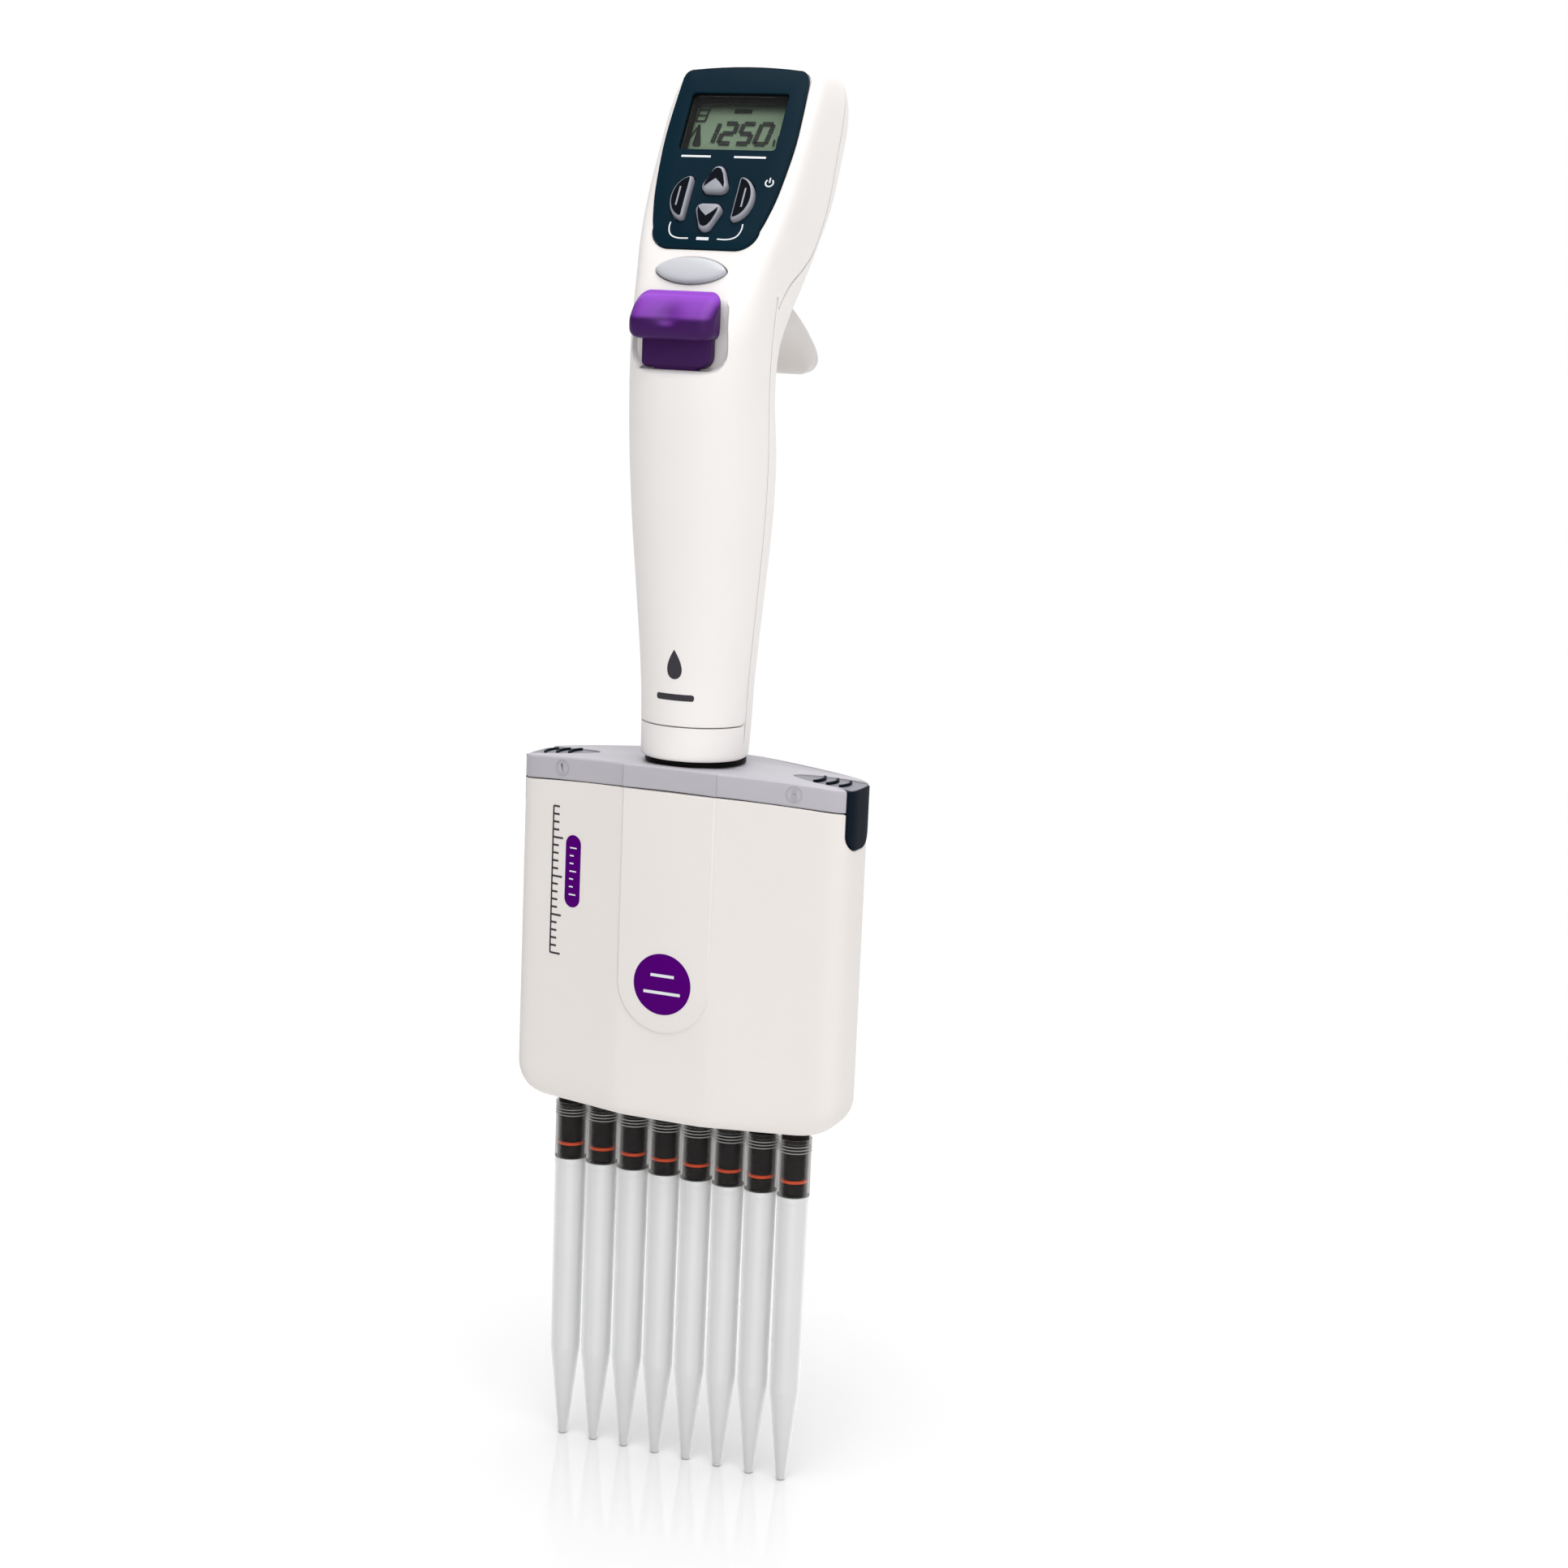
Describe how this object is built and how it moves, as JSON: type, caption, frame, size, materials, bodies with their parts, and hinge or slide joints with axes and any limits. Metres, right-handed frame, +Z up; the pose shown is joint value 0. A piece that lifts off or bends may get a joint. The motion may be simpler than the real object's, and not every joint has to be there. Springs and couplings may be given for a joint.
{
  "type": "multichannel electronic pipette",
  "caption": "Handheld electronic pipette with a tilted keypad head, finger hook, swivelling flat manifold and a row of long clear tips.",
  "frame": {"origin": "centre of the flat underside of the finger hook, beside the handle, where the pipette hangs", "axes": "+Z up along the handle from the tips to the head, -Y towards the keypad side, +X to the right along the row of channels"},
  "size_m": [0.091, 0.0693, 0.3576],
  "materials": {
    "shell_white": "fine satin grain",
    "cover_grey": "fine satin grain",
    "panel_navy": "satin film",
    "latch_navy": "satin",
    "eject_purple": "satin gloss",
    "key_grey": "satin",
    "button_grey": "satin gloss",
    "window_clear": "clear",
    "lcd_green": "reflective liquid crystal",
    "cone_black": "smooth",
    "o_ring_red": "smooth",
    "tip_clear": "translucent polypropylene",
    "steel": "turned",
    "inner_grey": "moulded",
    "board_green": "solder mask",
    "battery_blue": "shrink wrap",
    "neck_dark": "moulded"
  },
  "bodies": {
    "handle": {"front_shell": "shell_white", "rear_shell": "shell_white", "finger_hook": "shell_white", "keypad_panel": "panel_navy", "display_window": "window_clear", "lcd_module": "lcd_green", "circuit_board": "board_green", "battery_pack": "battery_blue", "motor": "steel", "drive_frame": "inner_grey", "swivel_neck": "neck_dark", "ejector_spring": "steel"},
    "manifold": {"manifold_housing": "shell_white", "manifold_cover": "cover_grey", "channel_block": "inner_grey", "swivel_nut": "inner_grey", "nose_cone_1": "cone_black", "nose_cone_2": "cone_black", "nose_cone_3": "cone_black", "nose_cone_4": "cone_black", "nose_cone_5": "cone_black", "nose_cone_6": "cone_black", "nose_cone_7": "cone_black", "nose_cone_8": "cone_black", "o_ring_1": "o_ring_red", "o_ring_2": "o_ring_red", "o_ring_3": "o_ring_red", "o_ring_4": "o_ring_red", "o_ring_5": "o_ring_red", "o_ring_6": "o_ring_red", "o_ring_7": "o_ring_red", "o_ring_8": "o_ring_red"},
    "lift_rod": {"lift_rod": "steel"},
    "lead_screw": {"lead_screw": "steel"},
    "piston_rack": {"piston_rack": "steel"},
    "ejector_key": {"ejector_key": "eject_purple", "ejector_linkage": "inner_grey"},
    "ejector_bar": {"ejector_bar": "inner_grey"},
    "tips": {"tip_1": "tip_clear", "tip_2": "tip_clear", "tip_3": "tip_clear", "tip_4": "tip_clear", "tip_5": "tip_clear", "tip_6": "tip_clear", "tip_7": "tip_clear", "tip_8": "tip_clear"},
    "dosing_button": {"dosing_button": "button_grey"},
    "key_up": {"key_up": "key_grey"},
    "key_down": {"key_down": "key_grey"},
    "key_menu": {"key_menu": "key_grey"},
    "key_enter": {"key_enter": "key_grey"},
    "latch_left": {"latch_left": "latch_navy"},
    "latch_right": {"latch_right": "latch_navy"}
  },
  "joints": [
    {"name": "manifold_swivel", "type": "hinge", "parent": "handle", "child": "manifold", "pos_m": [0, -0.0215, 0], "axis": [0, 0, 1], "continuous": true},
    {"name": "lift_slide", "type": "slide", "parent": "handle", "child": "lift_rod", "axis": [0, 0, 1], "range_m": [0, 0.0335]},
    {"name": "screw_spin", "type": "hinge", "parent": "handle", "child": "lead_screw", "pos_m": [0, -0.0215, 0], "axis": [0, 0, 1], "range_deg": [-3015.1, 0]},
    {"name": "piston_slide", "type": "slide", "parent": "manifold", "child": "piston_rack", "axis": [0, 0, 1], "range_m": [0, 0.0335]},
    {"name": "ejector_press", "type": "slide", "parent": "handle", "child": "ejector_key", "axis": [0, 0, -1], "range_m": [0, 0.006], "stiffness_N_per_m": 900, "springref_m": -0.004, "deforming": ["ejector_spring"]},
    {"name": "ejector_bar_slide", "type": "slide", "parent": "manifold", "child": "ejector_bar", "axis": [0, 0, -1], "range_m": [0, 0.006]},
    {"name": "tip_eject", "type": "slide", "parent": "manifold", "child": "tips", "axis": [0, 0, -1], "range_m": [0, 0.006]},
    {"name": "dosing_press", "type": "slide", "parent": "handle", "child": "dosing_button", "axis": [0, 0.8733, -0.4871], "range_m": [0, 0.0015], "stiffness_N_per_m": 1500, "springref_m": -0.0005},
    {"name": "key_up_press", "type": "slide", "parent": "handle", "child": "key_up", "axis": [0, 0.8733, -0.4871], "range_m": [0, 0.0008], "stiffness_N_per_m": 1800, "springref_m": -0.0003},
    {"name": "key_down_press", "type": "slide", "parent": "handle", "child": "key_down", "axis": [0, 0.8733, -0.4871], "range_m": [0, 0.0008], "stiffness_N_per_m": 1800, "springref_m": -0.0003},
    {"name": "key_menu_press", "type": "slide", "parent": "handle", "child": "key_menu", "axis": [0, 0.8733, -0.4871], "range_m": [0, 0.0008], "stiffness_N_per_m": 1800, "springref_m": -0.0003},
    {"name": "key_enter_press", "type": "slide", "parent": "handle", "child": "key_enter", "axis": [0, 0.8733, -0.4871], "range_m": [0, 0.0008], "stiffness_N_per_m": 1800, "springref_m": -0.0003},
    {"name": "latch_left_pull", "type": "slide", "parent": "manifold", "child": "latch_left", "axis": [-1, 0, 0], "range_m": [0, 0.0025], "stiffness_N_per_m": 2000, "springref_m": -0.0005},
    {"name": "latch_right_pull", "type": "slide", "parent": "manifold", "child": "latch_right", "axis": [1, 0, 0], "range_m": [0, 0.0025], "stiffness_N_per_m": 2000, "springref_m": -0.0005}
  ],
  "couplings": [
    {"joint": "screw_spin", "follows": "lift_slide", "rad_per_m": -1570.8},
    {"joint": "piston_slide", "follows": "lift_slide", "ratio": 1},
    {"joint": "ejector_bar_slide", "follows": "ejector_press", "ratio": 1},
    {"joint": "tip_eject", "follows": "ejector_press", "ratio": 1}
  ]
}
